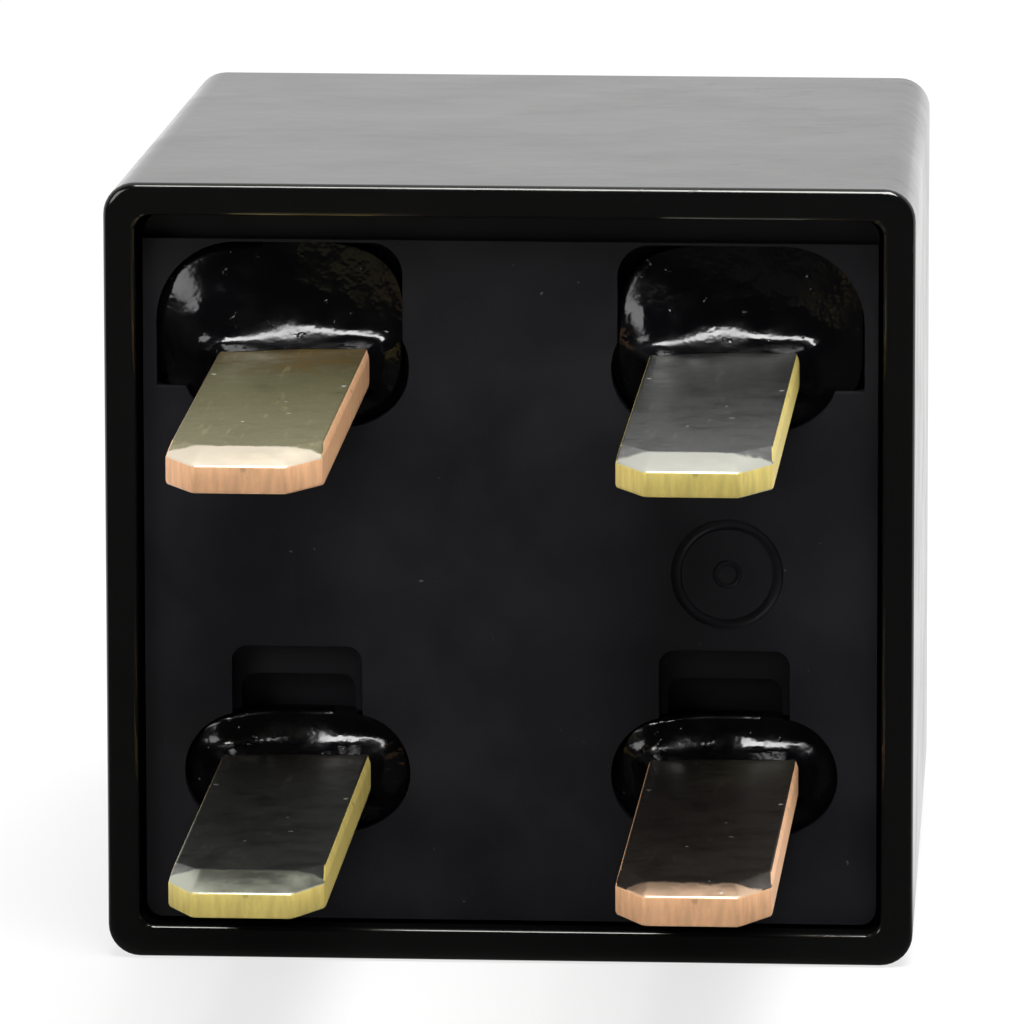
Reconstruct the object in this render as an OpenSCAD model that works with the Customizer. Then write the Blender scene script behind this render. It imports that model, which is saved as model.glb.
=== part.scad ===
// Four blade automotive relay, lying on one side of its case with the blades towards -Y.
// Every piece is drawn in the relay's own frame and then laid down by lay():
// there the blades point to -Z, the open rim of the case is the plane z = 0,
// the blades' wide faces are parallel to X, and -Y is the side that faces up when it lies.

/* [Case] */
// Width of the case across its open rim
case_w = 15.1; // [14.9:0.1:17]
// Height of the case across its open rim
case_h = 14.7; // [14.4:0.1:17]
// Depth of the case from its open rim to its closed face
case_d = 16; // [15.6:0.1:20]
// Thickness of the case's side walls
wall = 0.6; // [0.4:0.05:0.65]
// Thickness of the case's closed face
end_wall = 0.7; // [0.5:0.05:0.9]
// Radius of the four long corners, outside
corner_r = 0.6; // [0.5:0.05:1.2]
// Draft of the moulded side walls, in degrees
draft = 1; // [0.25:0.25:1.5]
// Rounding of the rim's outer edge
rim_round = 0.15; // [0.05:0.05:0.3]
// Rounding of the closed face's edge
end_round = 0.25; // [0.1:0.05:0.45]

/* [Base] */
// How far the base lies behind the rim
base_recess = 0.45; // [0.2:0.05:0.6]
// Thickness of the base
base_t = 2.45; // [2.3:0.05:2.9]
// Gap all round between the base and the case
base_gap = 0.05; // [0.02:0.01:0.15]
// Depth of the two large pockets
pocket_d = 1; // [0.85:0.05:1.2]
// Width of each large pocket
pocket_w = 4.6; // [4.4:0.05:4.7]
// How far a large pocket starts before its blade, on the side of the middle
pocket_side = 0.6; // [0.5:0.05:0.8]
// Distance from the base's upper edge to the large pockets
pocket_edge = 0.45; // [0.45:0.05:1]
// Height of the rebate along the upper edge
rebate_h = 0.4; // [0.2:0.05:0.4]
// Depth of that rebate
rebate_d = 0.35; // [0.2:0.05:0.6]
// Large rounding of a pocket's outer corner
pocket_outer_r = 1.5; // [0.6:0.1:2]
// Small rounding of a pocket's inner corner
pocket_inner_r = 0.6; // [0.3:0.1:1]
// Width of the notches above the lower blades, at their step
notch_w = 2.45; // [1.6:0.05:2.8]
// Height of those notches
notch_h = 1.7; // [1.3:0.05:1.8]
// Depth of their shallow step
notch_step_d = 0.4; // [0.2:0.05:0.6]
// Depth of their deep part
notch_d = 0.9; // [0.7:0.05:1.2]
// Width of that step's ledge on each side
notch_ledge = 0.15; // [0.1:0.05:0.3]
// Height of that step's ledge above and below
notch_shelf = 0.3; // [0.1:0.05:0.4]
// Rounding of the notches' corners
notch_r = 0.3; // [0.1:0.05:0.5]
// Distance from a lower blade to its notch
notch_gap = 0.3; // [0.2:0.05:0.6]
// Radius of the mould gate's ring
gate_r = 0.95; // [0.6:0.05:1.2]
// Distance of the gate from the middle of the base
gate_x = 4.05; // [3.6:0.05:4.2]
// Radius of the ring's groove
gate_groove_r = 0.1; // [0.05:0.01:0.15]
// Radius of the nub in the ring
nub_r = 0.22; // [0.15:0.01:0.4]
// Radius of the groove round the nub
nub_groove_r = 0.05; // [0.03:0.01:0.08]
// Length of the rib that stops the yoke's plate
rib_l = 0.5; // [0.3:0.05:0.7]
// Height of that rib
rib_h = 0.6; // [0.4:0.05:0.9]

/* [Blades] */
// Width of a blade
blade_w = 2.8; // [2.3:0.1:3]
// Thickness of the blade strip
blade_t = 0.8; // [0.6:0.05:0.85]
// How far the blades reach beyond the rim
blade_reach = 11.2; // [8:0.1:13]
// Distance from a side of the case to the middle of the blades next to it
blade_side = 3.55; // [3.4:0.05:3.7]
// Distance from the case's upper or lower side to the middle of the row of blades next to it
blade_edge = 3.5; // [3.3:0.05:3.6]
// Length of the bevel coined on the tip's wide faces
tip_bevel = 0.7; // [0.3:0.05:1.2]
// Depth of that bevel
tip_bevel_d = 0.17; // [0.05:0.01:0.25]
// Length of the corner cuts at the tip
tip_cut = 0.95; // [0.4:0.05:1.5]
// Width of each corner cut
tip_cut_w = 0.52; // [0.2:0.02:0.7]
// Inside radius of the bends in the strip
bend_r = 0.25; // [0.15:0.05:0.3]

/* [Seals] */
// Space between a blade and the side of its resin well
well_margin = 0.72; // [0.5:0.02:0.8]
// Depth of the resin wells
well_d = 0.85; // [0.5:0.05:1]
// How far the resin's surface lies below the base's face
resin_drop = 0.3; // [0.1:0.05:0.45]
// How far the resin climbs the blade from its surface
resin_climb = 0.65; // [0.3:0.05:0.9]
// Thickness of the climbing resin at its foot
resin_foot = 0.4; // [0.2:0.05:0.5]
// Thickness of the climbing resin at its upper edge
resin_tip = 0.08; // [0.05:0.01:0.12]
// Gap between parts that seat on each other
seat = 0.02; // [0.01:0.01:0.03]

/* [Magnet] */
// Thickness of the yoke and of the armature
iron_t = 1.1; // [0.8:0.05:1.2]
// Gap between the yoke's sides and the terminals that rise beside it
yoke_side = 0.15; // [0.1:0.05:0.4]
// Length of the yoke's plate under the coil
yoke_plate = 9; // [8:0.1:9.2]
// Gap between the yoke's back and the case's inner wall at the rim
yoke_back = 0.85; // [0.75:0.05:0.95]
// Diameter of the core
core_d = 3.2; // [2.4:0.1:3.4]
// How far the armature's sides stand out past the pole head
pole_inset = 0.2; // [0.1:0.05:0.5]
// Thickness of the pole head
pole_t = 0.8; // [0.5:0.05:0.9]
// Thickness of the bobbin's flanges
flange_t = 0.7; // [0.5:0.05:0.8]
// Wall of the bobbin's tube
tube_t = 0.55; // [0.35:0.05:0.7]
// Depth of the winding below the flanges' edge
coil_inset = 0.2; // [0.1:0.05:0.6]
// Number of ridges along the winding
coil_turns = 25; // [15:1:28]
// Radius of the coil wire's ends
lead_r = 0.08; // [0.05:0.01:0.12]
// Radius of the solder on the coil blades' posts
solder_r = 0.7; // [0.65:0.05:0.7]
// Height of that solder
solder_h = 0.75; // [0.5:0.05:0.9]
// Space between the mechanism and the inside of the case's closed face
head_room = 1.18; // [0.8:0.01:2]

/* [Armature and contacts] */
// Angle of the armature when the relay is off, in degrees
open_angle = 3; // [2:0.25:3.5]
// How far the yoke's sides stand out past the armature's
armature_inset = 0.2; // [0.1:0.05:0.6]
// Gap that stays under the armature when it is pulled in
residual_gap = 0.04; // [0.03:0.01:0.08]
// Thickness of the contact spring
spring_t = 0.15; // [0.1:0.01:0.2]
// Width of the spring on the armature and the yoke
spring_w = 4.4; // [3.4:0.1:4.8]
// Width of the spring's free end
spring_end_w = 2.4; // [2.2:0.1:3]
// Diameter of the contacts
contact_d = 2; // [1.6:0.1:2.2]
// Thickness of each contact's head
contact_t = 0.4; // [0.3:0.05:0.5]
// Width of terminal 87's tongue under the fixed contact
tongue_w = 2.1; // [2:0.05:2.4]
// How far that tongue reaches past the contact's middle
tongue_end = 1.3; // [1.2:0.05:1.6]
// Diameter of the rivets' shanks
rivet_d = 0.9; // [0.7:0.05:1]
// How far a rivet's head stands out past its shank, all round
rivet_lip = 0.35; // [0.2:0.05:0.4]
// Height of a rivet's head
rivet_head_t = 0.35; // [0.25:0.05:0.4]
// Distance from the case's inner wall at the rim to the middle of the contacts
contact_side = 1.7; // [1.6:0.05:1.8]
// Distance from the armature's free end to the middle of the contacts
contact_reach = 1.95; // [1.9:0.05:2.1]
// Distance from the coil's axis to the rivet near the hinge
rivet_back = 2.2; // [2:0.05:2.6]
// Distance from the coil's axis to the rivet near the armature's free end
rivet_front = 1.6; // [1.4:0.05:1.8]
// Outside radius of the spring's bend over the hinge
bend_out = 0.65; // [0.55:0.05:0.75]
// Height of the spring's arm above the yoke's lower face
arm_start = 2.2; // [1.8:0.1:2.6]
// Distance from the arm's lower end to its rivets
arm_rivet_up = 1.1; // [0.9:0.05:1.4]
// Distance from the arm's sides to its rivets
arm_rivet_in = 0.9; // [0.85:0.05:1.1]
// Height of the window in the spring's arm
window_h = 1.1; // [0.8:0.05:1.4]

/* [Hidden] */
$fn = 48;

// colours
BLACK_GLOSS = [0.06, 0.06, 0.06];
BLACK_SATIN = [0.11, 0.11, 0.13];
RESIN = [0.02, 0.02, 0.025];
COPPER = [0.82, 0.58, 0.42];
BRASS = [0.78, 0.72, 0.36];
WIRE = [0.62, 0.30, 0.13];
IRON = [0.62, 0.62, 0.60];
BRONZE = [0.72, 0.52, 0.30];
SILVER = [0.85, 0.85, 0.83];
SOLDER = [0.70, 0.71, 0.72];
IVORY = [0.85, 0.82, 0.72];

// case and base, along the relay's axis
level_t = 0.01;                              // thickness of the slabs that hull() joins
over = 1;                                    // how far a cutter runs past the face that it cuts
rim_y = (blade_reach - case_d) / 2;          // the rim's place along Y once the relay lies down
cavity_r = max(corner_r - wall, 0.3);        // radius of the case's long corners, inside
cavity_d = case_d - end_wall - level_t;
base_z0 = base_recess;
base_z1 = base_z0 + base_t;
base_w = case_w - 2 * (wall + base_gap + base_z1 * tan(draft));
base_h = case_h - 2 * (wall + base_gap + base_z1 * tan(draft));
pocket_top = base_h / 2 - pocket_edge;       // upper edge of the large pockets
rib_sink = 0.1;                              // how deep the rib is rooted in the base

// terminals
blade_x = case_w / 2 - blade_side;
blade_y = case_h / 2 - blade_edge;
blade_in = blade_y - blade_t / 2;            // the face of a row of blades that looks at the middle
pocket_h = pocket_top - blade_in;
slot_gap = 0.03;                             // gap round a blade in its slot
foot_l = 2.95;                               // length of terminal 30's foot, from the strip's outer face
foot_gap = 0.05;                             // gap round that foot in the base
rivet_head_r = rivet_d / 2 + rivet_lip;
foot_rivet = 1.3;                            // from that foot's bend to the middle of its rivet
foot_rivet_y = foot_rivet - blade_in;
shoulder_h = 0.5;                            // height of the coil blades' shoulders above the base
post_w = 0.8;                                // width of the coil blades' posts
post_x = 0.45;                               // how far a post stands out from its blade's middle
post_h = 2.2;                                // height of those posts above the base
post_z = base_z1 + post_h;
solder_top = post_z - 0.15;                  // upper end of the solder on a post
solder_taper = 0.06;
neck_z0 = base_z1 + 0.9;                     // where terminal 87 starts to narrow
neck_z1 = base_z1 + 1.6;                     // where it has its tongue's width

// seals
well_r = blade_t / 2 + well_margin;
well_w = blade_w + 2 * well_margin;
resin_z = base_z0 + resin_drop;
resin_waist = 0.45;                          // shares of the resin's climb and foot that bend its slope

// magnet, from the base upwards
coil_gap = 0.05;                             // gap between the flanges and the iron beside them
core_chamfer = 0.15;
yoke_x0 = -case_w / 2 + wall + yoke_back;    // the yoke's back
yoke_z0 = base_z1;
yoke_w = 2 * (blade_in - yoke_side);
armature_w = yoke_w - 2 * armature_inset;
pole_d = armature_w - 2 * pole_inset;
contact_x = case_w / 2 - wall - contact_side;
armature_x1 = contact_x - contact_reach;     // the armature's free end
flange_d = armature_x1 - yoke_x0 - iron_t;
coil_x = yoke_x0 + iron_t + coil_gap + flange_d / 2;
stop_gap = 0.06;                             // play between the open armature and its stop
hook_h = 0.7;                                // height of the stop hooks above the open armature
open_rise = (residual_gap + iron_t) * cos(open_angle) + (armature_x1 - yoke_x0) * sin(open_angle);
// the pole face, level with the yoke's upper edge
pole_z = case_d - end_wall - head_room - hook_h - stop_gap - open_rise;
bobbin_z0 = yoke_z0 + iron_t + 2 * seat;
bobbin_z1 = pole_z - pole_t;
coil_l = bobbin_z1 - bobbin_z0 - 2 * flange_t;
flange_chamfer = bend_r + coil_gap;          // clears the bend inside the yoke
tube_r = core_d / 2 + tube_t;
coil_r = flange_d / 2 - coil_inset;
ridge_r = coil_l / coil_turns / 2;

// armature, closed; open() turns it to its place at rest
hinge_x = yoke_x0;
hinge_z = pole_z;
armature_z0 = pole_z + residual_gap;
armature_z1 = armature_z0 + iron_t;
back_step = 0.35;                            // height of the armature's square back edge
armature_chamfer = 0.1;
spring_z0 = armature_z1 + seat;
spring_z1 = spring_z0 + spring_t;
spring_x1 = contact_x + 1.1;                 // the spring's free end
spring_neck = 0.6;                           // how far before the armature's end the spring narrows
spring_side_y = (spring_end_w + spring_w) / 2;
tongue_z1 = spring_z0 - 2 * contact_t - residual_gap;
contact_round = 0.12;                        // rounding of the contacts' edge
upset_h = 0.25;                              // height of a contact's upset end
upset_w = 0.3;                               // how far that end stands out past the shank
upset_taper = 0.1;

// spring's bend, from its arm on the yoke's back to its strip on the armature
arm_x0 = yoke_x0 - seat - spring_t;
bend_x = arm_x0 + bend_out;
bend_rise = (bend_x - hinge_x) * sin(open_angle);
bend_z = hinge_z + (spring_z1 - hinge_z - bend_out + bend_rise) / cos(open_angle);
bend_steps = 12;
window_side = 0.3;                           // how far the arm's window runs on over the armature
arm_z0 = yoke_z0 + arm_start;                // lower end of the spring's arm
arm_rivet_z = arm_z0 + arm_rivet_up;
arm_rivet_y = spring_w / 2 - arm_rivet_in;
armature_rivet_x = [coil_x - rivet_back, coil_x + rivet_front];
head_t = rivet_head_t - 0.05;                // height of a rivet's head over its seat
head_edge = 0.2;                             // height of the head's upright edge
head_crown = 0.3;                            // how far the head's flat top lies inside its edge

// bobbin's back stop: two hooks that reach over the armature's free end
stop_l = 1.2;                                // their length along the armature
stop_x0 = armature_x1 - 0.1 - stop_l;
stop_t = 0.7;                                // their thickness
stop_side = 0.3;                             // gap between the hooks and the armature's sides
stop_y0 = armature_w / 2 + stop_side;
stop_z0 = hinge_z + open_rise + stop_gap;
hook_reach = 0.7;                            // how far each reaches over the armature
hook_slope = 0.3;                            // slope on the hooks' outer and inner corners

lead_z = bobbin_z0 + flange_t + 0.15;        // height of the coil wire's ends

// Lays the relay down on the side of its case, blades towards -Y
module lay() translate([0, rim_y, case_h / 2]) rotate([-90, 0, 0]) children();

// Turns a piece of the armature from its pulled-in place to its place at rest
module open()
    translate([hinge_x, 0, hinge_z]) rotate([0, -open_angle, 0])
        translate([-hinge_x, 0, -hinge_z]) children();

// Place in (x, z) of a point of the pulled-in armature once it is at rest
function tilted(x, z) = [
    hinge_x + (x - hinge_x) * cos(open_angle) - (z - hinge_z) * sin(open_angle),
    hinge_z + (x - hinge_x) * sin(open_angle) + (z - hinge_z) * cos(open_angle)];

// Outline in (y, z), extruded along +X from x = 0
module along_x(l) rotate([90, 0, 90]) linear_extrude(l) children();

// Outline in (x, z), extruded along +Y, with its middle at y = 0
module along_y(l) translate([0, l / 2, 0]) rotate([90, 0, 0]) linear_extrude(l) children();

// Rectangle about the origin with rounded corners
module round_rect(w, h, r) {
    square([w - 2 * r, h], center = true);
    square([w, h - 2 * r], center = true);
    for (sx = [-1, 1], sy = [-1, 1])
        translate([sx * (w / 2 - r), sy * (h / 2 - r)]) circle(r);
}

// Slot with round ends about the origin
module stadium(w, h) round_rect(w, h, h / 2 - 0.001);

// Strip bent square: one leg down the line x = 0, one along the line y = 0, outer corner at the origin
module elbow(t, r, down, across) {
    translate([0, -down]) square([t, down - r - t]);
    translate([r + t, -t]) square([across - r - t, t]);
    intersection() {
        translate([0, -r - t]) square(r + t);
        translate([r + t, -r - t]) difference() {
            circle(r + t);
            circle(r);
        }
    }
}

// Drafted block with rounded long corners; each level is [z, extra inset]
module drafted(w, h, r, levels)
    hull()
        for (level = levels, sx = [-1, 1], sy = [-1, 1]) {
            inset = level[0] * tan(draft);
            translate([sx * (w / 2 - r - inset), sy * (h / 2 - r - inset), level[0]])
                cylinder(h = level_t, r = r - level[1], $fn = 32);
        }

module cover()
    color(BLACK_GLOSS) lay() difference() {
        drafted(case_w, case_h, corner_r, concat(
            [for (a = [0 : 30 : 90]) [rim_round * (1 - sin(a)), rim_round * (1 - cos(a))]],
            [for (a = [0 : 30 : 90])
                [case_d - level_t - end_round * (1 - sin(a)), end_round * (1 - cos(a))]]));
        drafted(case_w - 2 * wall, case_h - 2 * wall, cavity_r,
            [[-over, 0], [cavity_d - cavity_r / 2, 0], [cavity_d, cavity_r / 2]]);
    }

// Outline of one large pocket, its inner upper corner at the origin, running to +X and +Y
module pocket_outline(w, h)
    intersection() {
        square([w, h]);
        union() {
            translate([0, pocket_inner_r]) square([w - pocket_outer_r, h]);
            translate([pocket_inner_r, 0]) square([w - pocket_inner_r - pocket_outer_r, h]);
            translate([pocket_inner_r, pocket_inner_r]) circle(pocket_inner_r);
            translate([w - pocket_outer_r, pocket_outer_r]) circle(pocket_outer_r);
            translate([w - pocket_outer_r, pocket_outer_r]) square([pocket_outer_r, h]);
        }
    }

// Places a pocket outline over the blade on side s; its lower edge is level with the blade's lower face
module at_pocket(s)
    translate([s * (blade_x - blade_w / 2 - pocket_side), -pocket_top]) scale([s, 1]) children();

// Outline of the notch above the lower blade on side s, drawn in by x at the sides and y above and below
module notch_outline(s, x, y)
    translate([s * blade_x, blade_in - notch_gap - (notch_h - 2 * y) / 2])
        round_rect(notch_w - 2 * x, notch_h - 2 * y, notch_r);

module base()
    color(BLACK_SATIN) lay() difference() {
        union() {
            translate([0, 0, base_z0]) linear_extrude(base_t) round_rect(base_w, base_h, cavity_r);
            // rib at the end of the yoke's plate
            translate([yoke_x0 + yoke_plate + coil_gap, -yoke_w / 4, base_z1 - rib_sink])
                cube([rib_l, yoke_w / 2, rib_h + rib_sink]);
        }
        // rebate along the upper edge
        translate([-case_w / 2, -base_h / 2 - over, base_z0 - over])
            cube([case_w, rebate_h + over, rebate_d + over]);
        // large pockets round the upper blades
        for (s = [-1, 1])
            translate([0, 0, base_z0 - over])
                linear_extrude(pocket_d + over) at_pocket(s) pocket_outline(pocket_w, pocket_h);
        // stepped notches above the lower blades
        for (s = [-1, 1]) {
            translate([0, 0, base_z0 - over]) linear_extrude(notch_step_d + over) notch_outline(s, 0, 0);
            translate([0, 0, base_z0 - over])
                linear_extrude(notch_d + over) notch_outline(s, notch_ledge, notch_shelf);
        }
        // resin wells and blade slots
        for (sx = [-1, 1], sy = [-1, 1])
            translate([sx * blade_x, sy * blade_y, base_z0 - over]) {
                linear_extrude(well_d + over) stadium(well_w, 2 * well_r);
                linear_extrude(base_t + 2 * over)
                    square([blade_w + 2 * slot_gap, blade_t + 2 * slot_gap], center = true);
            }
        // recess for terminal 30's bend, foot and rivet
        translate([-blade_x - blade_w / 2 - foot_gap, -blade_y, base_z1 - blade_t - bend_r - foot_gap])
            cube([blade_w + 2 * foot_gap, blade_t / 2 + bend_r + foot_gap, bend_r + blade_t]);
        translate([-blade_x - blade_w / 2 - foot_gap, -blade_y - blade_t / 2 - foot_gap, base_z1 - blade_t])
            cube([blade_w + 2 * foot_gap, foot_l + 2 * foot_gap, blade_t + over]);
        translate([-blade_x, foot_rivet_y, base_z1 - blade_t - rivet_head_t - foot_gap])
            cylinder(h = rivet_head_t + over, r = rivet_head_r + foot_gap);
        // mould gate: a ring groove with a nub in it
        translate([gate_x, 0, base_z0]) {
            rotate_extrude() translate([gate_r, 0]) circle(gate_groove_r);
            rotate_extrude() translate([nub_r, 0]) circle(nub_groove_r);
        }
    }

// Straight blade from its coined tip up to z1, about the origin
module blade(z1) {
    w = blade_w / 2;
    t = blade_t / 2;
    intersection() {
        along_y(blade_t) polygon([[-w, z1], [-w, tip_cut - blade_reach], [tip_cut_w - w, -blade_reach],
            [w - tip_cut_w, -blade_reach], [w, tip_cut - blade_reach], [w, z1]]);
        translate([-w, 0, 0]) along_x(blade_w) polygon([[-t, z1], [-t, tip_bevel - blade_reach],
            [tip_bevel_d - t, -blade_reach], [t - tip_bevel_d, -blade_reach],
            [t, tip_bevel - blade_reach], [t, z1]]);
    }
}

// Common terminal: its foot is riveted under the yoke
module terminal_30()
    color(COPPER) lay() difference() {
        union() {
            translate([-blade_x, -blade_y, 0]) blade(base_z0);
            translate([-blade_x - blade_w / 2, -blade_y - blade_t / 2, base_z1]) along_x(blade_w)
                elbow(blade_t, bend_r, base_t, foot_l);
        }
        translate([-blade_x, foot_rivet_y, base_z1 - blade_t - over])
            cylinder(h = blade_t + 2 * over, r = rivet_d / 2 + seat);
    }

// Normally open terminal: it rises beside the coil, and its tongue carries the fixed contact
module terminal_87()
    color(COPPER) lay() difference() {
        union() {
            translate([blade_x, blade_y, 0]) blade(base_z1);
            translate([0, blade_y, 0]) along_y(blade_t) polygon([
                [blade_x - blade_w / 2, base_z1], [blade_x - blade_w / 2, neck_z0],
                [contact_x - tongue_w / 2, neck_z1], [contact_x - tongue_w / 2, tongue_z1 - 2 * blade_t],
                [contact_x + tongue_w / 2, tongue_z1 - 2 * blade_t], [contact_x + tongue_w / 2, base_z1]]);
            translate([contact_x - tongue_w / 2, blade_y + blade_t / 2, tongue_z1]) mirror([0, 1, 0])
                along_x(tongue_w) elbow(blade_t, bend_r, 2 * blade_t, blade_y + blade_t / 2 + tongue_end);
        }
        translate([contact_x, 0, tongue_z1 - blade_t - over])
            cylinder(h = blade_t + 2 * over, r = rivet_d / 2 + seat);
    }

// Coil terminal: a shouldered blade with a narrow post for the wire, off its middle towards +X
module coil_terminal() {
    blade(base_z1 + shoulder_h);
    translate([post_x - post_w / 2, -blade_t / 2, base_z1]) cube([post_w, blade_t, post_h]);
}

module terminal_85() color(BRASS) lay() translate([-blade_x, blade_y, 0]) mirror([1, 0, 0]) coil_terminal();

module terminal_86() color(BRASS) lay() translate([blade_x, -blade_y, 0]) coil_terminal();

// Thin slab of the resin's climb round the blade at (x, y), at a share of its height
module climb_level(x, y, share)
    translate([x, y, resin_z - resin_climb * share]) linear_extrude(level_t) children();

// Resin round one blade: it fills the well to its level and climbs the blade.
// The children are outlines of any pocket that the same resin covers.
module seal(x, y)
    color(RESIN) lay() difference() {
        union() {
            translate([x, y, resin_z]) linear_extrude(base_z0 + well_d - resin_z - seat)
                stadium(well_w - 2 * seat, 2 * well_r - 2 * seat);
            translate([0, 0, resin_z]) linear_extrude(base_z0 + pocket_d - resin_z - seat) children();
            hull() {
                climb_level(x, y, 0) stadium(blade_w + 2 * resin_foot, blade_t + 2 * resin_foot);
                climb_level(x, y, resin_waist)
                    stadium(blade_w + 2 * resin_waist * resin_foot, blade_t + 2 * resin_waist * resin_foot);
                climb_level(x, y, 1)
                    square([blade_w + 2 * resin_tip, blade_t + 2 * resin_tip], center = true);
            }
        }
        translate([x - blade_w / 2 - seat / 2, y - blade_t / 2 - seat / 2, resin_z - resin_climb - over])
            cube([blade_w + seat, blade_t + seat, resin_climb + well_d + 2 * over]);
    }

// Resin outline in the large pocket on side s, a little inside its wall
module pocket_fill(s)
    at_pocket(s) translate([seat, seat]) pocket_outline(pocket_w - 2 * seat, pocket_h - 2 * seat);

module seal_30() seal(-blade_x, -blade_y) pocket_fill(-1);

module seal_86() seal(blade_x, -blade_y) pocket_fill(1);

module seal_85() seal(-blade_x, blade_y);

module seal_87() seal(blade_x, blade_y);

// Coil former, with the two hooks over the armature's free end that stop it when it opens
module bobbin()
    color(IVORY) lay() difference() {
        union() {
            translate([coil_x, 0, bobbin_z0]) rotate_extrude() polygon([
                [0, 0], [flange_d / 2 - flange_chamfer, 0], [flange_d / 2, flange_chamfer],
                [flange_d / 2, flange_t], [0, flange_t]]);
            translate([coil_x, 0, bobbin_z1 - flange_t]) cylinder(h = flange_t, r = flange_d / 2);
            translate([coil_x, 0, bobbin_z0]) cylinder(h = bobbin_z1 - bobbin_z0, r = tube_r);
            translate([stop_x0, -stop_y0 - stop_t, bobbin_z1 - flange_t])
                cube([stop_l, 2 * (stop_y0 + stop_t), flange_t]);
            for (s = [-1, 1])
                translate([stop_x0, 0, 0]) along_x(stop_l) scale([s, 1]) polygon([
                    [stop_y0, bobbin_z1 - flange_t], [stop_y0 + stop_t, bobbin_z1 - flange_t],
                    [stop_y0 + stop_t, stop_z0 + hook_h - hook_slope],
                    [stop_y0 + stop_t - hook_slope, stop_z0 + hook_h],
                    [stop_y0 - hook_reach + hook_slope, stop_z0 + hook_h], [stop_y0 - hook_reach, stop_z0],
                    [stop_y0, stop_z0]]);
        }
        translate([coil_x, 0, bobbin_z0 - over])
            cylinder(h = bobbin_z1 - bobbin_z0 + 2 * over, r = core_d / 2 + seat);
    }

// Enamelled wire: the winding's outer layer shows as ridges
module coil_winding()
    color(WIRE) lay() translate([coil_x, 0, bobbin_z0 + flange_t]) rotate_extrude() {
        translate([tube_r + seat, seat]) square([coil_r - ridge_r - tube_r - seat, coil_l - 2 * seat]);
        intersection() {
            translate([tube_r + seat, seat]) square([coil_r - tube_r, coil_l - 2 * seat]);
            for (i = [0 : coil_turns - 1])
                translate([coil_r - ridge_r, (2 * i + 1) * ridge_r]) circle(ridge_r * 1.05);
        }
    }

// Turned iron core with its pole head, set in the yoke
module core()
    color(IRON) lay() translate([coil_x, 0, 0]) rotate_extrude() polygon([
        [0, yoke_z0 + seat], [core_d / 2 - core_chamfer, yoke_z0 + seat],
        [core_d / 2, yoke_z0 + seat + core_chamfer], [core_d / 2, bobbin_z1 + seat],
        [pole_d / 2, bobbin_z1 + seat], [pole_d / 2, pole_z - core_chamfer],
        [pole_d / 2 - core_chamfer, pole_z], [0, pole_z]]);

// L-shaped frame: a plate under the coil and a leg up behind it
module yoke()
    color(IRON) lay() difference() {
        translate([yoke_x0, 0, yoke_z0 + seat]) along_y(yoke_w) scale([1, -1])
            elbow(iron_t, bend_r, pole_z - yoke_z0 - seat, yoke_plate);
        translate([coil_x, 0, yoke_z0 - over]) cylinder(h = iron_t + 2 * over, r = core_d / 2 + seat);
        translate([-blade_x, foot_rivet_y, yoke_z0 - over])
            cylinder(h = iron_t + 2 * over, r = rivet_d / 2 + seat);
        for (s = [-1, 1])
            translate([yoke_x0 - over, s * arm_rivet_y, arm_rivet_z]) rotate([0, 90, 0])
                cylinder(h = iron_t + 2 * over, r = rivet_d / 2 + seat);
    }

// Flat clapper; its back lower edge rocks on the yoke's upper edge
module armature()
    color(IRON) lay() open() difference() {
        along_y(armature_w) polygon([[hinge_x, armature_z0], [armature_x1, armature_z0],
            [armature_x1, armature_z1 - armature_chamfer], [armature_x1 - armature_chamfer, armature_z1],
            [hinge_x + bend_out, armature_z1], [hinge_x, armature_z0 + back_step]]);
        for (x = armature_rivet_x)
            translate([x, 0, armature_z0 - over]) cylinder(h = iron_t + 2 * over, r = rivet_d / 2 + seat);
    }

// Leaf spring in one piece: an arm on the yoke's back, a bend over the hinge, and a strip on the armature
module contact_spring() {
    t = spring_t;
    arc = [for (i = [0 : bend_steps]) 180 - i * (90 - open_angle) / bend_steps];
    color(BRONZE) lay() difference() {
        along_y(spring_w) polygon(concat(
            [[arm_x0 + t, arm_z0], [arm_x0, arm_z0]],
            [for (a = arc) [bend_x + bend_out * cos(a), bend_z + bend_out * sin(a)]],
            [tilted(spring_x1, spring_z1), tilted(spring_x1, spring_z0)],
            [for (i = [bend_steps : -1 : 0])
                [bend_x + (bend_out - t) * cos(arc[i]), bend_z + (bend_out - t) * sin(arc[i])]]));
        // sides cut back towards the free end
        for (s = [-1, 1])
            open() translate([armature_x1 - spring_neck, s * spring_side_y - spring_w / 2, spring_z0 - over])
                cube([spring_x1 - armature_x1 + spring_neck + over, spring_w, t + 2 * over]);
        // window that leaves two narrow legs over the hinge
        translate([arm_x0 - over, -spring_w / 4, bend_z - window_h])
            cube([bend_out + over + window_side, spring_w / 2, window_h + bend_out + over]);
        for (s = [-1, 1])
            translate([arm_x0 - over, s * arm_rivet_y, arm_rivet_z]) rotate([0, 90, 0])
                cylinder(h = t + 2 * over, r = rivet_d / 2 + seat);
        open() for (x = concat(armature_rivet_x, [contact_x]))
            translate([x, 0, spring_z0 - over]) cylinder(h = t + 2 * over, r = rivet_d / 2 + seat);
    }
}

// Contact rivet along +Z: its domed face at z = 0, a shank through l of strip, and an upset end
module contact_rivet(l)
    rotate_extrude() polygon(concat(
        [for (a = [0 : 15 : 90])
            [contact_d / 2 - contact_round * (1 - sin(a)), contact_round * (1 - cos(a))]],
        [[contact_d / 2, contact_t], [rivet_d / 2, contact_t], [rivet_d / 2, contact_t + l + 2 * seat],
         [rivet_d / 2 + upset_w, contact_t + l + 2 * seat],
         [rivet_d / 2 + upset_w - upset_taper, contact_t + l + upset_h],
         [0, contact_t + l + upset_h], [0, 0]]));

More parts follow.
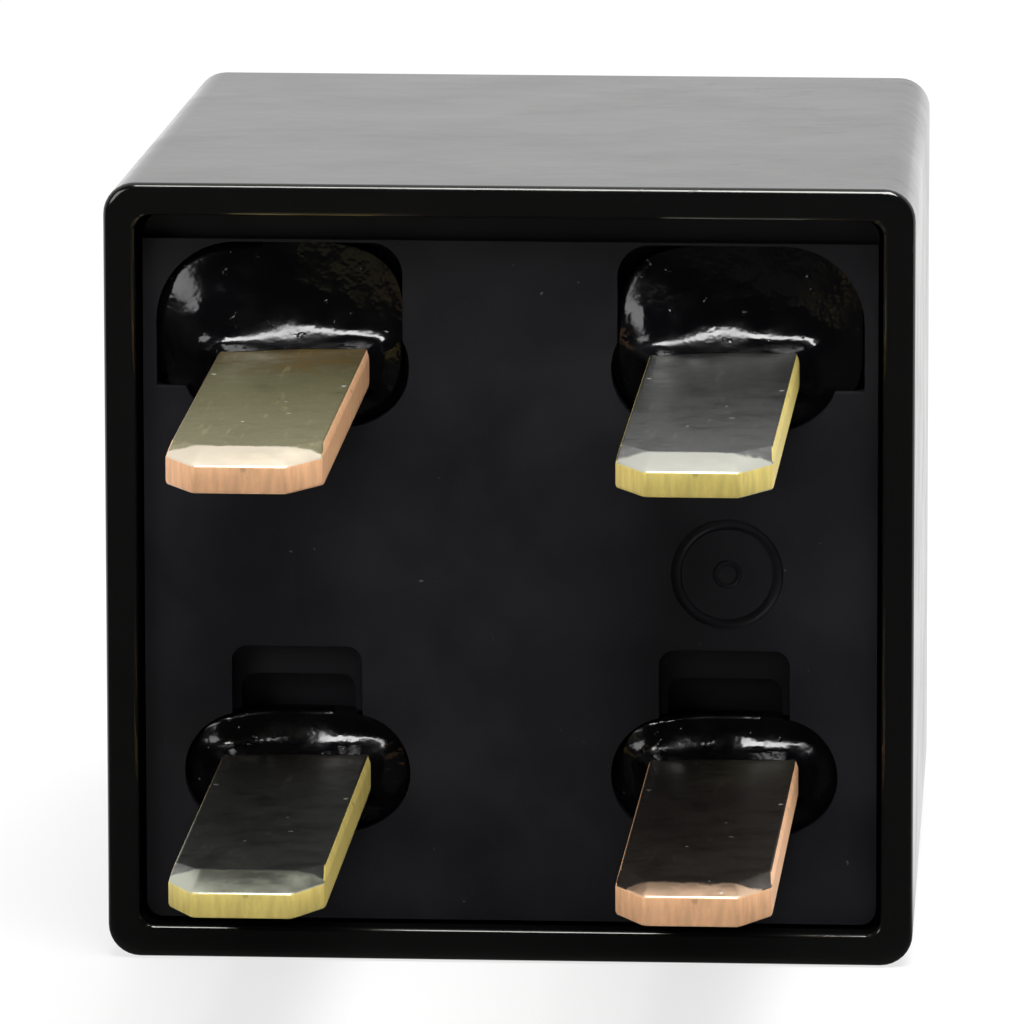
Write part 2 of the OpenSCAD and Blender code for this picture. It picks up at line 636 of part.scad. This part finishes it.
module moving_contact()
    color(SILVER) lay() open() translate([contact_x, 0, spring_z0 - contact_t - seat])
        contact_rivet(spring_t);

module fixed_contact()
    color(SILVER) lay() translate([contact_x, 0, tongue_z1 + contact_t + seat]) mirror([0, 0, 1])
        contact_rivet(blade_t);

// Round headed rivet along -Z: the head sits on z = 0, the shank goes l down
module rivet(l)
    rotate_extrude() polygon([[0, -l], [rivet_d / 2, -l], [rivet_d / 2, seat], [rivet_head_r, seat],
        [rivet_head_r, head_edge], [rivet_head_r - head_crown, head_t], [0, head_t]]);

module armature_rivets()
    color(IRON) lay() open() for (x = armature_rivet_x)
        translate([x, 0, spring_z1]) rivet(spring_t + iron_t);

module yoke_rivets()
    color(IRON) lay() for (s = [-1, 1])
        translate([arm_x0, s * arm_rivet_y, arm_rivet_z]) rotate([0, -90, 0]) rivet(spring_t + iron_t);

module terminal_rivet()
    color(IRON) lay() translate([-blade_x, foot_rivet_y, base_z1 - blade_t]) mirror([0, 0, 1])
        rivet(blade_t + iron_t);

// End of the coil's wire: it runs level over the lower flange to the solder round post
module lead(post) {
    post_far = norm([post[0] - coil_x, post[1]]);
    outward = [post[0] - coil_x, post[1], 0] / post_far;
    color(WIRE) lay() translate([coil_x, 0, lead_z]) hull()
        for (r = [coil_r + lead_r + seat, post_far - solder_r - lead_r - seat])
            translate(r * outward) sphere(lead_r, $fn = 16);
}

module lead_start() lead([-blade_x - post_x, blade_y]);

module lead_end() lead([blade_x + post_x, -blade_y]);

// Solder round the post of a coil blade at (x, y)
module solder(x, y)
    translate([x, y, 0]) difference() {
        translate([0, 0, solder_top]) mirror([0, 0, 1]) rotate_extrude() polygon([
            [0, 0], [solder_r - solder_taper, 0], [solder_r, solder_h / 4], [solder_r, solder_h * 3 / 4],
            [solder_r - solder_taper, solder_h], [0, solder_h]]);
        translate([-(post_w + seat) / 2, -(blade_t + seat) / 2, base_z1])
            cube([post_w + seat, blade_t + seat, post_h]);
    }

module solder_85() color(SOLDER) lay() solder(-blade_x - post_x, blade_y);

module solder_86() color(SOLDER) lay() solder(blade_x + post_x, -blade_y);

cover();
base();
terminal_30();
terminal_87();
terminal_85();
terminal_86();
seal_30();
seal_87();
seal_85();
seal_86();
bobbin();
coil_winding();
core();
yoke();
armature();
contact_spring();
moving_contact();
fixed_contact();
armature_rivets();
yoke_rivets();
terminal_rivet();
lead_start();
lead_end();
solder_85();
solder_86();
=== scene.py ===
import math

import bmesh
import bpy
from mathutils import Matrix, Vector


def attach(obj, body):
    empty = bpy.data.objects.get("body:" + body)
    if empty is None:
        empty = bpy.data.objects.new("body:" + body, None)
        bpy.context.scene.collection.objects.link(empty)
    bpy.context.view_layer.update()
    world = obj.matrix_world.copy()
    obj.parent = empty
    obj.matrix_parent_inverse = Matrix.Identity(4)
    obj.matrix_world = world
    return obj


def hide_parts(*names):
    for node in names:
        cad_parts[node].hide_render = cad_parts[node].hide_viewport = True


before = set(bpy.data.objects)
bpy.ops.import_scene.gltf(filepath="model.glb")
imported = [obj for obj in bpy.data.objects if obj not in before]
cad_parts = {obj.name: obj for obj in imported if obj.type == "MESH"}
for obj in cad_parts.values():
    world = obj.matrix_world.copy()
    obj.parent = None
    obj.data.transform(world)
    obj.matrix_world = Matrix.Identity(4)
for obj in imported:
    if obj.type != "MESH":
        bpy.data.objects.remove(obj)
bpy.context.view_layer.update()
MM = 0.001

# Camera: a long lens, a little above the blades and to their right, as a small part is
# shown on a table.
camera_target = Vector((0.065, -2.4, 8.576)) * MM
camera_distance = 223.17 * MM
camera_azimuth = math.radians(3.914)
camera_elevation = math.radians(10.62)
camera_roll = math.radians(-0.09)
camera_data = bpy.data.cameras.new("camera")
camera_data.sensor_width = 36
camera_data.lens = 421.875
camera_data.clip_start = 0.01
camera_data.clip_end = 20
camera = bpy.data.objects.new("camera", camera_data)
bpy.context.scene.collection.objects.link(camera)
towards_camera = Vector((
    math.sin(camera_azimuth) * math.cos(camera_elevation),
    -math.cos(camera_azimuth) * math.cos(camera_elevation),
    math.sin(camera_elevation)))
camera.location = camera_target + camera_distance * towards_camera
aim = (-towards_camera).to_track_quat("-Z", "Y").to_matrix()
camera.rotation_euler = (aim @ Matrix.Rotation(camera_roll, 3, "Z")).to_euler()
bpy.context.scene.camera = camera
bpy.context.scene.view_settings.view_transform = "Standard"

# Cover: one deep moulded box of glossy black plastic, open at the blades, with drafted
# walls and rounded corners. It slides over the base and grips it at the rim.
rim_y, back_y = -2.4 * MM, 13.6 * MM
case_w, case_h, case_mid = 15.1 * MM, 14.7 * MM, 7.35 * MM
wall, end_wall = 0.6 * MM, 0.7 * MM
corner_r, cavity_r = 0.6 * MM, 0.3 * MM
draft = math.tan(math.radians(1))
rim_inner_r, rim_outer_r, back_r = 0.08 * MM, 0.15 * MM, 0.25 * MM
corner_steps = 8


class Finish:
    """A surface finish made of shader nodes. Its patterns are laid out in millimetres."""

    def __init__(self, name, **surface):
        self.material = bpy.data.materials.new(name)
        self.material.use_nodes = True
        self.tree = self.material.node_tree
        self.surface = self.tree.nodes["Principled BSDF"]
        self.coordinates = self.add("TexCoord").outputs["Object"]
        for socket, value in surface.items():
            self.set(socket.replace("_", " "), value)

    def add(self, kind, *inputs, **settings):
        """Adds a shader node, and gives its inputs in order what comes after the kind."""
        node = self.tree.nodes.new("ShaderNode" + kind)
        for key, value in settings.items():
            setattr(node, key, value)
        for socket, value in zip(node.inputs, inputs):
            self.give(socket, value)
        return node

    def give(self, socket, value):
        if isinstance(value, bpy.types.NodeSocket):
            self.tree.links.new(value, socket)
        elif value is not None:
            socket.default_value = value

    def set(self, socket, value):
        if isinstance(value, tuple) and len(value) == 3:
            value = (*value, 1)
        self.give(self.surface.inputs[socket], value)

    def place(self, centre=(0, 0, 0), stretch=(1, 1, 1), turn=0):
        """Coordinates in millimetres about a centre, turned about Z and then stretched."""
        moved = self.add("Mapping", self.coordinates, tuple(-c * 1000 for c in centre),
                         None, (1000, 1000, 1000)).outputs[0]
        turned = self.add("Mapping", moved, None, (0, 0, math.radians(turn))).outputs[0]
        return self.add("Mapping", turned, None, None, stretch).outputs[0]

    def part(self, vector, axis):
        return self.add("SeparateXYZ", vector).outputs[axis]

    def noise(self, vector, scale, detail=2.0, roughness=0.5):
        node = self.add("TexNoise", noise_dimensions="3D")
        self.give(node.inputs["Vector"], vector)
        self.give(node.inputs["Scale"], scale)
        self.give(node.inputs["Detail"], detail)
        self.give(node.inputs["Roughness"], roughness)
        return node.outputs["Fac"]

    def ramp(self, value, low, high, to_low=0.0, to_high=1.0):
        """A value brought from low..high to to_low..to_high, with soft ends."""
        return self.add("MapRange", value, low, high, to_low, to_high,
                        interpolation_type="SMOOTHSTEP").outputs[0]

    def math(self, operation, *values):
        return self.add("Math", *values, operation=operation).outputs[0]

    def mix(self, factor, first, second):
        node = self.add("Mix", data_type="RGBA")
        self.give(node.inputs[0], factor)
        for socket, value in ((node.inputs[6], first), (node.inputs[7], second)):
            if isinstance(value, tuple):
                value = (*value, 1)
            self.give(socket, value)
        return node.outputs[2]

    def bump(self, height, depth, under=None):
        """Bump of a height from 0 to 1 that stands for depth in millimetres."""
        node = self.add("Bump", 1.0, depth * MM)
        self.give(node.inputs["Height"], height)
        self.give(node.inputs["Normal"], under)
        return node.outputs[0]


def wear_gloss_black():
    """Polished black mould finish with long, fine rub marks, stronger to the right."""
    gloss = Finish("gloss_black", Base_Color=(0.003, 0.003, 0.003), Roughness=0.14, IOR=1.56,
                   Specular_Tint=(1.0, 0.985, 0.93))
    flat = gloss.place()
    cloud = gloss.noise(flat, 0.35, 3)
    fine = gloss.noise(flat, 3.2, 4)
    rubs = gloss.noise(gloss.place(turn=-14, stretch=(0.5, 9, 1)), 1.3, 5, 0.65)
    rub = gloss.math("MULTIPLY", gloss.ramp(rubs, 0.60, 0.70),
                     gloss.ramp(gloss.part(flat, 0), -2.0, 5.0, 0.1, 1.0))
    gloss.set("Roughness", gloss.math(
        "ADD", gloss.ramp(cloud, 0.3, 0.7, 0.10, 0.17),
        gloss.math("MULTIPLY", rub, 0.10)))
    ripple = gloss.bump(cloud, 0.02)
    grain = gloss.bump(fine, 0.0008, ripple)
    gloss.set("Normal", gloss.bump(rub, 0.0012, grain))
    return gloss.material


def skinned(loops, joined=False):
    """A bmesh drawn over loops that have as many points each, extruded from one to the next.
    Its two ends are filled or, when joined, the last loop runs into the first."""
    bm = bmesh.new()
    turn = bm.verts.layers.int.new("turn")
    for i, v in enumerate(bmesh.ops.create_circle(bm, segments=len(loops[0]), radius=1)["verts"]):
        v[turn] = i
        v.co = loops[0][i]
    edges = bm.edges[:]
    for loop in loops[1:] + loops[:joined]:
        grown = bmesh.ops.extrude_edge_only(bm, edges=edges)["geom"]
        verts = {g for g in grown if isinstance(g, bmesh.types.BMVert)}
        for v in verts:
            v.co = loop[v[turn]]
        edges = [g for g in grown if isinstance(g, bmesh.types.BMEdge) and verts.issuperset(g.verts)]
    bmesh.ops.remove_doubles(bm, verts=bm.verts, dist=0.0001 * MM)
    bmesh.ops.holes_fill(bm, edges=[e for e in bm.edges if e.is_boundary])
    bmesh.ops.recalc_face_normals(bm, faces=bm.faces)
    return bm


def finished(bm, name, material, smooth_angle=35):
    """An object from a bmesh, with its faces pointing out and its round parts shaded smooth."""
    bmesh.ops.recalc_face_normals(bm, faces=bm.faces)
    mesh = bpy.data.meshes.new(name)
    bm.to_mesh(mesh)
    bm.free()
    for m in material if isinstance(material, list) else [material]:
        mesh.materials.append(m)
    piece = bpy.data.objects.new(name, mesh)
    bpy.context.scene.collection.objects.link(piece)
    mesh.shade_smooth()
    mesh.set_sharp_from_angle(angle=math.radians(smooth_angle))
    weighted = piece.modifiers.new("weighted", "WEIGHTED_NORMAL")
    weighted.keep_sharp = True
    return piece


def rounded_rectangle(half_w, half_h, radius, y):
    points = []
    for side_x, side_z, start in ((1, 1, 0), (-1, 1, 90), (-1, -1, 180), (1, -1, 270)):
        for k in range(corner_steps + 1):
            angle = math.radians(start + 90 * k / corner_steps)
            points.append(Vector((side_x * (half_w - radius) + radius * math.cos(angle), y,
                                  case_mid + side_z * (half_h - radius) + radius * math.sin(angle))))
    return points


quarter = [math.radians(18 * k) for k in range(6)]
levels = [(back_y - end_wall, wall)]
levels += [(rim_y + rim_inner_r * (1 - math.sin(a)), wall - rim_inner_r * (1 - math.cos(a)))
           for a in quarter]
levels += [(rim_y + rim_outer_r * (1 - math.cos(a)), rim_outer_r * (1 - math.sin(a)))
           for a in quarter]
levels += [(back_y - back_r * (1 - math.sin(a)), back_r * (1 - math.cos(a)))
           for a in quarter]
loops = []
for y, inset in levels:
    narrowed = inset + draft * (y - rim_y)
    loops.append(rounded_rectangle(case_w / 2 - narrowed, case_h / 2 - narrowed,
                                   corner_r - inset * (corner_r - cavity_r) / wall, y))
cover = finished(skinned(loops), "cover_shell", wear_gloss_black())
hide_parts("cover")
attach(cover, "housing")

# Base: the moulded black plate that closes the cover and carries the blades. Its satin face
# lies a little behind the rim, with pockets, notches, resin wells and a round gate mark.
edge_soft = 0.06 * MM
sharp_angle = math.radians(50)
flat_angle = math.radians(0.4)


def satin_black():
    """Eroded mould finish, a very dark violet grey, with faint clouds and dust."""
    satin = Finish("satin_black", Roughness=0.5, IOR=1.5, Specular_IOR_Level=0.3)
    flat = satin.place()
    cloud = satin.noise(flat, 0.5, 4, 0.6)
    grain = satin.noise(flat, 16, 2)
    dust = satin.ramp(satin.noise(flat, 7.5, 1), 0.80, 0.84)
    tone = satin.mix(satin.ramp(cloud, 0.3, 0.7), (0.0062, 0.0062, 0.0088), (0.0088, 0.0088, 0.0120))
    satin.set("Base Color", satin.mix(dust, tone, (0.06, 0.06, 0.065)))
    satin.set("Roughness", satin.ramp(cloud, 0.3, 0.7, 0.46, 0.56))
    satin.set("Normal", satin.bump(grain, 0.002, satin.bump(cloud, 0.01)))
    return satin.material


def softened(node, radius, name, material):
    """A copy of a CAD node with its sharp edges rounded, as a mould or a press leaves them."""
    bm = bmesh.new()
    bm.from_mesh(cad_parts[node].data)
    bmesh.ops.remove_doubles(bm, verts=bm.verts, dist=0.001 * MM)
    bmesh.ops.dissolve_limit(bm, angle_limit=flat_angle, verts=bm.verts, edges=bm.edges)
    sharp = [e for e in bm.edges if len(e.link_faces) == 2 and e.calc_face_angle() > sharp_angle]
    bmesh.ops.bevel(bm, geom=sharp, offset=radius, offset_type="OFFSET", segments=3,
                    profile=0.5, affect="EDGES", material=-1, clamp_overlap=True)
    piece = finished(bm, name, material)
    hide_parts(node)
    return piece


base = softened("base", edge_soft, "base_plate", satin_black())
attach(base, "housing")

# Blades: four terminals stamped from tinned copper or tinned brass strip. The tin covers
# the wide faces, and the sheared sides and the coined tip show the bare metal.
blade_w, blade_t = 2.8 * MM, 0.8 * MM
tip_y = -13.6 * MM
root_y = -1.2 * MM
cut_l, corner_l = 0.95 * MM, 0.8 * MM
flat_inset, blade_edge_r = 0.05 * MM, 0.045 * MM
crease_angle = math.radians(5)
speck = (0.9, 0.88, 0.82)
copper = (1.0, 0.57, 0.31)
brass = (0.84, 0.68, 0.20)


def tinned(name, centre, tone, root_colour, roughness, coined, coined_l):
    """Dull hot tin: clouds, drawn scratches, small bright specks, and a darker colour that it turns to
    towards the root.
    """
    tin = Finish(name, Metallic=1.0, Roughness=roughness)
    flat = tin.place(centre)
    cloud = tin.noise(flat, 1.1, 5, 0.62)
    drawn = tin.noise(tin.place(centre, stretch=(6, 0.6, 1)), 1.4, 4, 0.6)
    pits = tin.ramp(tin.noise(flat, 4.5, 1), 0.76, 0.80)
    depth = tin.part(flat, 1)
    rooted = tin.math("ADD", tin.ramp(depth, -6.5, 0.4), tin.ramp(cloud, 0.35, 0.65, -0.25, 0.25))
    plate = tin.mix(tin.ramp(cloud, 0.35, 0.65), tone, tuple(c * 0.6 for c in tone))
    # Towards the root the plate is mixed into the root colour: darker towards the root.
    plate = tin.mix(tin.ramp(rooted, 0.2, 1.0), plate, root_colour)
    plate = tin.mix(tin.ramp(drawn, 0.58, 0.72, 0, 0.5), plate,
                    tuple(min(1, c * 1.5) for c in tone))
    edge = tin.math("ADD", depth, tin.ramp(cloud, 0.3, 0.7, -0.12, 0.12))
    tip = tin.ramp(edge, coined_l - 0.1, coined_l + 0.05, 1, 0)
    plate = tin.mix(tip, plate, coined)
    tin.set("Base Color", tin.mix(pits, plate, speck))
    tin.set("Roughness", tin.math("ADD", tin.ramp(cloud, 0.3, 0.7, -0.06, 0.08), roughness))
    tin.set("Normal", tin.bump(pits, 0.006, tin.bump(drawn, 0.003, tin.bump(cloud, 0.012))))
    return tin.material


def bare(name, centre, metal):
    """Sheared strip: bare metal with streaks across its thickness and a few dark spots."""
    cut = Finish(name, Metallic=0.55, Roughness=0.5)
    flat = cut.place(centre)
    streaks = cut.noise(cut.place(centre, stretch=(3, 3, 0.6)), 2.2, 4, 0.6)
    spots = cut.ramp(cut.noise(flat, 2.6, 2), 0.68, 0.76)
    dark = tuple(c * 0.45 for c in metal)
    tone = cut.mix(cut.ramp(streaks, 0.3, 0.7), metal, tuple(c * 0.8 for c in metal))
    cut.set("Base Color", cut.mix(spots, tone, dark))
    cut.set("Normal", cut.bump(streaks, 0.01))
    return cut.material


def blade_levels(cut_w, bevel_l, drop):
    """Outlines of a blade in plan, from its lower flat to its upper one: (across, from the tip)."""
    w, root = blade_w / 2, root_y - tip_y
    edge = [(-w, root), (-w, cut_l), (cut_w - w, 0), (0, 0), (w - cut_w, 0), (w, cut_l), (w, root)]
    side, shoulder = w - flat_inset, w - cut_w - 0.1 * corner_l
    flat = [(-side, root), (-side, cut_l + corner_l), (-shoulder, bevel_l), (0, bevel_l * 1.02),
            (shoulder, bevel_l), (side, cut_l + corner_l), (side, root)]
    t = blade_t / 2
    return [(-t, flat), (drop - t, edge), (t - drop, edge), (t, flat)]


def blade(name, node, centre, metal, tone, root_colour, roughness, coined, coined_l, outline):
    """A new blade in front of root_y, joined to the CAD node's own part behind it."""
    x, z = centre[0] * MM, centre[1] * MM
    bm = skinned([[Vector((x + across, tip_y + along, z + height)) for across, along in points]
                  for height, points in outline])
    for f in bm.faces:
        f.material_index = 1 if abs(f.normal.z) < 0.5 else 0
    sharp = [e for e in bm.edges if len(e.link_faces) == 2 and e.calc_face_angle() > crease_angle
             and max(v.co.y for v in e.verts) < root_y + 1e-6
             and min(v.co.y for v in e.verts) < root_y - 1e-6]
    bmesh.ops.bevel(bm, geom=sharp, offset=blade_edge_r, offset_type="OFFSET", segments=3,
                    profile=0.5, affect="EDGES", material=-1, clamp_overlap=True)
    inner = bmesh.new()
    inner.from_mesh(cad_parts[node].data)
    bmesh.ops.remove_doubles(inner, verts=inner.verts, dist=0.001 * MM)
    cut = bmesh.ops.bisect_plane(inner, geom=inner.verts[:] + inner.edges[:] + inner.faces[:],
                                 plane_co=(0, root_y, 0), plane_no=(0, -1, 0), clear_outer=True)
    open_edges = [g for g in cut["geom_cut"] if isinstance(g, bmesh.types.BMEdge)]
    bmesh.ops.holes_fill(inner, edges=open_edges)
    held = bpy.data.meshes.new(name + "_held")
    inner.to_mesh(held)
    inner.free()
    bm.from_mesh(held)
    bpy.data.meshes.remove(held)
    middle = (x, root_y, z)
    piece = finished(bm, name, [tinned("tin_" + name, middle, tone, root_colour, roughness, coined,
                                        (tip_y - root_y) / MM + coined_l),
                                bare("cut_" + name, middle, metal)])
    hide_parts(node)
    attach(piece, "housing")
    return piece


# The lower blades, blade_85 and blade_87, get darker tones, root colours and coined colours than the
# upper two. This is painted shade and painted reflection: the upper blades' shadow, and the dark base
# mirrored in their flats.
for name, node, centre, metal, tone, root_colour, roughness, coined, coined_l, cut_w, drop, slot in (
    ("blade_30", "terminal_30", (-4, 11.2), copper, (0.37, 0.345, 0.185), (0.22, 0.15, 0.05), 0.42,
     (0.95, 0.84, 0.66), 1.15, 0.56, 0.15, "tinned_copper"),
    ("blade_86", "terminal_86", (4, 11.2), brass, (0.22, 0.225, 0.215), (0.16, 0.16, 0.15), 0.34,
     (0.72, 0.72, 0.63), 1.0, 0.56, 0.17, "tinned_brass"),
    ("blade_85", "terminal_85", (-4, 3.5), brass, (0.18, 0.185, 0.165), (0.07, 0.06, 0.05), 0.36,
     (0.60, 0.62, 0.50), 1.15, 0.50, 0.17, "tinned_brass"),
    ("blade_87", "terminal_87", (4, 3.5), copper, (0.13, 0.11, 0.09), (0.10, 0.09, 0.06), 0.38,
     (0.95, 0.66, 0.45), 0.6, 0.55, 0.13, "tinned_copper"),
):
    shape = blade_levels(cut_w * MM, coined_l * MM, drop * MM)
    blade(name, node, centre, metal, tone, root_colour, roughness, coined, coined_l, shape)

# Seals: black casting resin poured round each blade. It wets the metal and the well, and
# sets with a glossy skin that climbs the blade in a smooth curve.
resin_y = -1.65 * MM
resin_depth = 0.6 * MM
climb, climb_l = 0.65 * MM, 0.30 * MM
blade_gap = 0.01 * MM
turns, rings = 96, 18


def resin_skin():
    """Cured resin: glossy black, faintly wavy, with tiny bright bubbles."""
    skin = Finish("resin_skin", Base_Color=(0.0015, 0.0015, 0.002), Roughness=0.16, IOR=1.5)
    flat = skin.place()
    wave = skin.noise(flat, 1.6, 3)
    beads = skin.ramp(skin.noise(flat, 4.2, 1), 0.70, 0.78)
    skin.set("Roughness", skin.ramp(wave, 0.3, 0.7, 0.10, 0.26))
    skin.set("Normal", skin.bump(beads, 0.02, skin.bump(wave, 0.05)))
    return skin.material


def around(angle, half_w, half_h, power):
    """Point on a rounded rectangle about the origin; a higher power gives squarer corners."""
    c, s = math.cos(angle), math.sin(angle)
    k = (abs(c / half_w) ** power + abs(s / half_h) ** power) ** (-1 / power)
    return Vector((k * c, k * s))


def seal(name, node, centre, well, mounds, material):
    """well is (left, right, down, up), how far the resin runs from the blade's middle.
    Each mound is (across, up, height, width) about the blade's middle."""
    x0, z0 = centre[0] * MM, centre[1] * MM
    left, right, down, up = (w * MM for w in well)
    middle = Vector(((right - left) / 2, (up - down) / 2))

    def skin(i, share):
        angle = 2 * math.pi * i / turns
        outer = middle + around(angle, (left + right) / 2, (down + up) / 2, 3.2)
        outer_angle = math.atan2(outer.y, outer.x)
        inner = around(outer_angle, blade_w / 2 + blade_gap, blade_t / 2 + blade_gap, 9)
        spot = inner.lerp(outer, share)
        away = (spot - inner).length
        rise = climb * math.exp(-away / climb_l)
        for across, up_by, height, width in mounds:
            off = ((spot.x / MM - across) ** 2 + (spot.y / MM - up_by) ** 2) / width ** 2
            rise += height * MM * math.exp(-off)
        return spot, rise

    def loop(share, depth=None):
        points = []
        for i in range(turns):
            spot, rise = skin(i, share)
            y = resin_y + (-rise if depth is None else depth)
            points.append(Vector((x0 + spot.x, y, z0 + spot.y)))
        return points

    loops = [loop(0, resin_depth)] + [loop((k / rings) ** 1.7) for k in range(rings + 1)]
    bm = skinned(loops + [loop(1, resin_depth)], joined=True)
    piece = finished(bm, name, material, 80)
    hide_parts(node)
    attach(piece, "housing")


resin = resin_skin()
seal("seal_at_30", "seal_30", (-4, 11.2), (2.55, 2.0, 1.1, 2.32), [(-1.5, 0.9, 0.6, 1.1)], resin)
seal("seal_at_86", "seal_86", (4, 11.2), (2.0, 2.55, 1.1, 2.32), [(-1.35, 0.8, 0.5, 0.75)], resin)
seal("seal_at_85", "seal_85", (-4, 3.5), (2.1, 2.1, 1.1, 1.1), [(-1.4, 0.8, 0.3, 0.6)], resin)
seal("seal_at_87", "seal_87", (4, 3.5), (2.1, 2.1, 1.1, 1.1), [(-1.4, 0.8, 0.3, 0.6)], resin)

# Works: the coil, the yoke and the moving contact behind the base. Their forms stay the solids'
# own, with the finishes of moulded nylon, enamelled wire, zinc-plated iron and sprung bronze.
def work_finish(name, metallic, tone, roughness, patch=1.2, streak=(1, 1, 1), depth=0.004):
    """Cloudy colour and roughness, with a fine grain that can run in streaks."""
    made = Finish(name, Metallic=metallic)
    cloud = made.noise(made.place(), patch, 4, 0.6)
    grain = made.noise(made.place(stretch=streak), 9, 3, 0.6)
    made.set("Base Color", made.mix(made.ramp(cloud, 0.3, 0.7), tuple(c * 0.78 for c in tone), tone))
    made.set("Roughness", made.ramp(cloud, 0.3, 0.7, roughness - 0.05, roughness + 0.08))
    made.set("Normal", made.bump(grain, depth))
    return made.material


def wound_wire():
    """Enamelled copper wire: close turns side by side along the coil, a little uneven in tone."""
    wire = Finish("enamelled_wire", Metallic=0.85, Roughness=0.28)
    along = wire.part(wire.place(), 1)
    turn = wire.math("SINE", wire.math("MULTIPLY", along, 2 * math.pi / 0.14))
    cloud = wire.noise(wire.place(stretch=(0.4, 3, 0.4)), 1.5, 3)
    wire.set("Base Color", wire.mix(wire.ramp(cloud, 0.3, 0.7), (0.42, 0.13, 0.05), (0.62, 0.22, 0.09)))
    wire.set("Normal", wire.bump(wire.ramp(turn, -1, 1), 0.035))
    return wire.material


nylon = work_finish("ivory_nylon", 0.0, (0.62, 0.56, 0.42), 0.42, 0.6)
zinc = work_finish("zinc_on_iron", 1.0, (0.62, 0.62, 0.60), 0.34, 1.4, (0.3, 5, 1))
pole_iron = work_finish("turned_iron", 1.0, (0.50, 0.49, 0.47), 0.30, 1.4, (1, 8, 1))
bronze = work_finish("rolled_bronze", 1.0, (0.78, 0.50, 0.26), 0.30, 1.0, (0.3, 6, 0.3))
silver = work_finish("contact_silver", 1.0, (0.86, 0.85, 0.82), 0.24, 2.0)
steel = work_finish("bright_steel", 1.0, (0.58, 0.58, 0.57), 0.26, 2.0)
solder = work_finish("soft_solder", 1.0, (0.66, 0.66, 0.65), 0.30, 2.5, depth=0.012)
enamel = work_finish("enamelled_lead", 0.85, (0.60, 0.21, 0.08), 0.28, 2.0)
for node, material in (
    ("bobbin", nylon), ("coil_winding", wound_wire()), ("core", pole_iron), ("yoke", zinc),
    ("armature", zinc), ("contact_spring", bronze), ("moving_contact", silver),
    ("fixed_contact", silver), ("armature_rivets", steel), ("yoke_rivets", steel),
    ("terminal_rivet", steel), ("lead_start", enamel), ("lead_end", enamel),
    ("solder_85", solder), ("solder_86", solder),
):
    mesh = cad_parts[node].data
    mesh.materials.clear()
    mesh.materials.append(material)

# Studio: a pale floor under a white backdrop, a large soft light above the part, a weaker
# one in front of it to the left, and a dark room behind the camera.
floor_mesh = bmesh.new()
bmesh.ops.create_grid(floor_mesh, x_segments=1, y_segments=1, size=3)
floor_data = bpy.data.meshes.new("floor")
floor_mesh.to_mesh(floor_data)
floor_mesh.free()
floor = bpy.data.objects.new("floor", floor_data)
floor.location = (0, 0, -0.00002)
bpy.context.scene.collection.objects.link(floor)

floor_finish = Finish("pale_floor", Base_Color=(0.8, 0.8, 0.8), Roughness=0.9)
rays = floor_finish.add("LightPath")
seen = floor_finish.math("MAXIMUM", rays.outputs["Is Camera Ray"], rays.outputs["Is Transmission Ray"])
front = floor_finish.part(floor_finish.coordinates, 1)
glow = floor_finish.add("Emission", (1, 1, 1, 1), 1.0)
shade = floor_finish.add("MixShader", 0.25, glow.outputs[0], floor_finish.surface.outputs[0])
dark = floor_finish.add("Emission", (1, 1, 1, 1), 0.04)
mirror = floor_finish.add("MixShader", floor_finish.ramp(front, -0.004, 0.006),
                          dark.outputs[0], glow.outputs[0])
lit = floor_finish.add("MixShader", rays.outputs["Is Glossy Ray"],
                       floor_finish.surface.outputs[0], mirror.outputs[0])
final = floor_finish.add("MixShader", seen, lit.outputs[0], shade.outputs[0])
floor_finish.give(floor_finish.tree.nodes["Material Output"].inputs["Surface"], final.outputs[0])
floor_data.materials.append(floor_finish.material)

world = bpy.data.worlds.new("studio")
bpy.context.scene.world = world
world.use_nodes = True
sky = world.node_tree
sky_nodes = sky.nodes
sky_nodes.clear()
coordinates = sky_nodes.new("ShaderNodeTexCoord")
split = sky_nodes.new("ShaderNodeSeparateXYZ")
sky.links.new(coordinates.outputs["Generated"], split.inputs[0])
behind = sky_nodes.new("ShaderNodeMapRange")
behind.interpolation_type = "SMOOTHSTEP"
for socket, value in zip(behind.inputs[1:5], (-0.25, 0.25, 0.02, 1.0)):
    socket.default_value = value
sky.links.new(split.outputs["Y"], behind.inputs[0])
path = sky_nodes.new("ShaderNodeLightPath")
open_view = sky_nodes.new("ShaderNodeMath")
open_view.operation = "MAXIMUM"
sky.links.new(path.outputs["Is Camera Ray"], open_view.inputs[0])
sky.links.new(path.outputs["Is Transmission Ray"], open_view.inputs[1])
level = sky_nodes.new("ShaderNodeMath")
level.operation = "MAXIMUM"
sky.links.new(behind.outputs[0], level.inputs[0])
sky.links.new(open_view.outputs[0], level.inputs[1])
background = sky_nodes.new("ShaderNodeBackground")
sky.links.new(level.outputs[0], background.inputs["Strength"])
output = sky_nodes.new("ShaderNodeOutputWorld")
sky.links.new(background.outputs[0], output.inputs["Surface"])


def softbox(name, place, aim_at, size, power):
    data = bpy.data.lights.new(name, "AREA")
    data.shape = "RECTANGLE"
    data.size, data.size_y = size
    data.energy = power
    lamp = bpy.data.objects.new(name, data)
    lamp.location = place
    lamp.rotation_euler = (Vector(aim_at) - Vector(place)).to_track_quat("-Z", "Y").to_euler()
    bpy.context.scene.collection.objects.link(lamp)


softbox("key", (0.06, -0.10, 0.36), (0, -0.005, 0.007), (0.22, 0.18), 2.2)
softbox("left_fill", (-0.24, -0.24, 0.16), (0, -0.005, 0.007), (0.16, 0.18), 0.35)
